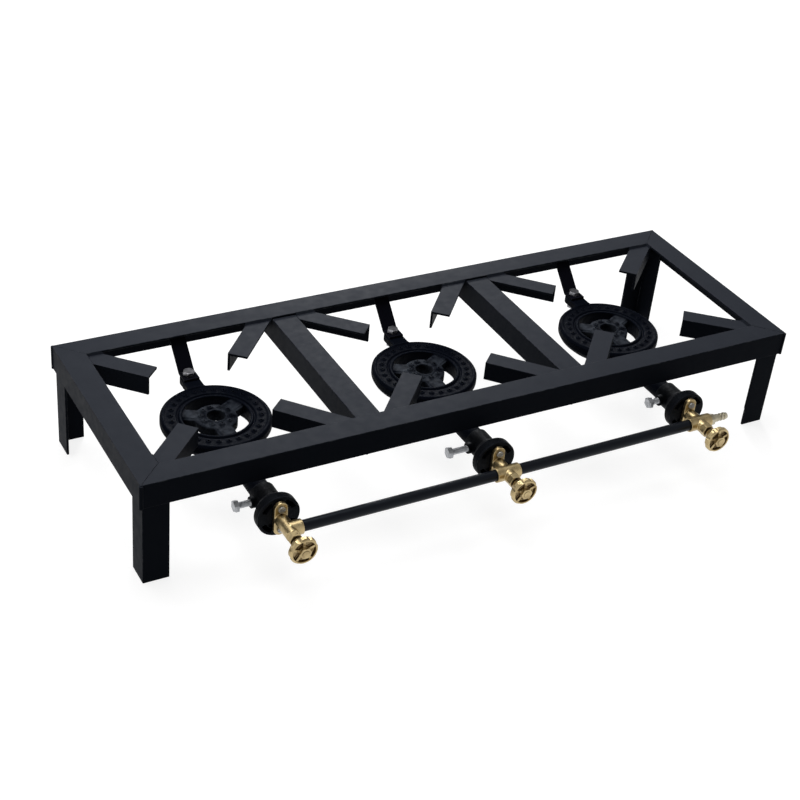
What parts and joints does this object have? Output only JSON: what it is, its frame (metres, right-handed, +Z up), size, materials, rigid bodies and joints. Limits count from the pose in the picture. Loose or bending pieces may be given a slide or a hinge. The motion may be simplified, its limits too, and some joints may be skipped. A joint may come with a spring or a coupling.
{
  "type": "three-burner gas stove",
  "caption": "Low angle-frame gas stove: a row of cast ring burners with corner pot supports, air mixers and brass handwheel valves on a front gas pipe.",
  "frame": {"origin": "bottom centre of the whole part's box, on the floor", "axes": "+X along the row of burners to the right, toward the gas inlet; +Y from the valves to the back; +Z up"},
  "size_m": [0.893, 0.404, 0.14],
  "materials": {
    "painted_steel": "satin black paint",
    "cast_iron": "rough black casting",
    "brass": "satin",
    "zinc_steel": "zinc plated"
  },
  "bodies": {
    "frame": {"front_rail": "painted_steel", "back_rail": "painted_steel", "left_rail": "painted_steel", "right_rail": "painted_steel", "cross_rail_1": "painted_steel", "cross_rail_2": "painted_steel", "leg_front_left": "painted_steel", "leg_front_right": "painted_steel", "leg_back_left": "painted_steel", "leg_back_right": "painted_steel", "pot_supports_1": "painted_steel", "pot_supports_2": "painted_steel", "pot_supports_3": "painted_steel", "strap_1": "painted_steel", "strap_2": "painted_steel", "strap_3": "painted_steel", "strap_bolt_1": "zinc_steel", "strap_bolt_2": "zinc_steel", "strap_bolt_3": "zinc_steel", "burner_1": "cast_iron", "burner_2": "cast_iron", "burner_3": "cast_iron", "mixer_1": "cast_iron", "mixer_2": "cast_iron", "mixer_3": "cast_iron", "lock_screw_1": "zinc_steel", "lock_screw_2": "zinc_steel", "lock_screw_3": "zinc_steel", "valve_body_1": "brass", "valve_body_2": "brass", "valve_body_3": "brass", "flange_screws_1": "zinc_steel", "flange_screws_2": "zinc_steel", "flange_screws_3": "zinc_steel", "jet_1": "brass", "jet_2": "brass", "jet_3": "brass", "gland_nut_1": "brass", "gland_nut_2": "brass", "gland_nut_3": "brass", "gas_pipe_1": "painted_steel", "gas_pipe_2": "painted_steel", "hose_tail": "brass"},
    "air_shutter_1": {"air_shutter_1": "cast_iron"},
    "spindle_1": {"spindle_1": "brass"},
    "handwheel_1": {"handwheel_1": "brass", "wheel_nut_1": "brass"},
    "air_shutter_2": {"air_shutter_2": "cast_iron"},
    "spindle_2": {"spindle_2": "brass"},
    "handwheel_2": {"handwheel_2": "brass", "wheel_nut_2": "brass"},
    "air_shutter_3": {"air_shutter_3": "cast_iron"},
    "spindle_3": {"spindle_3": "brass"},
    "handwheel_3": {"handwheel_3": "brass", "wheel_nut_3": "brass"}
  },
  "joints": [
    {"name": "air_shutter_1_turn", "type": "hinge", "parent": "frame", "child": "air_shutter_1", "pos_m": [-0.294, -0.1275, 0.077], "axis": [0, -1, 0], "range_deg": [0, 45]},
    {"name": "spindle_1_rise", "type": "slide", "parent": "frame", "child": "spindle_1", "axis": [0, -1, 0], "range_m": [0, 0.0019]},
    {"name": "handwheel_1_turn", "type": "hinge", "parent": "spindle_1", "child": "handwheel_1", "pos_m": [-0.294, -0.1895, 0.077], "axis": [0, -1, 0], "range_deg": [0, 540]},
    {"name": "air_shutter_2_turn", "type": "hinge", "parent": "frame", "child": "air_shutter_2", "pos_m": [-0.01, -0.1275, 0.077], "axis": [0, -1, 0], "range_deg": [0, 45]},
    {"name": "spindle_2_rise", "type": "slide", "parent": "frame", "child": "spindle_2", "axis": [0, -1, 0], "range_m": [0, 0.0019]},
    {"name": "handwheel_2_turn", "type": "hinge", "parent": "spindle_2", "child": "handwheel_2", "pos_m": [-0.01, -0.1895, 0.077], "axis": [0, -1, 0], "range_deg": [0, 540]},
    {"name": "air_shutter_3_turn", "type": "hinge", "parent": "frame", "child": "air_shutter_3", "pos_m": [0.274, -0.1275, 0.077], "axis": [0, -1, 0], "range_deg": [0, 45]},
    {"name": "spindle_3_rise", "type": "slide", "parent": "frame", "child": "spindle_3", "axis": [0, -1, 0], "range_m": [0, 0.0019]},
    {"name": "handwheel_3_turn", "type": "hinge", "parent": "spindle_3", "child": "handwheel_3", "pos_m": [0.274, -0.1895, 0.077], "axis": [0, -1, 0], "range_deg": [0, 540]}
  ],
  "couplings": [
    {"joint": "spindle_1_rise", "follows": "handwheel_1_turn", "m_per_rad": 0.00019894},
    {"joint": "spindle_2_rise", "follows": "handwheel_2_turn", "m_per_rad": 0.00019894},
    {"joint": "spindle_3_rise", "follows": "handwheel_3_turn", "m_per_rad": 0.00019894}
  ]
}
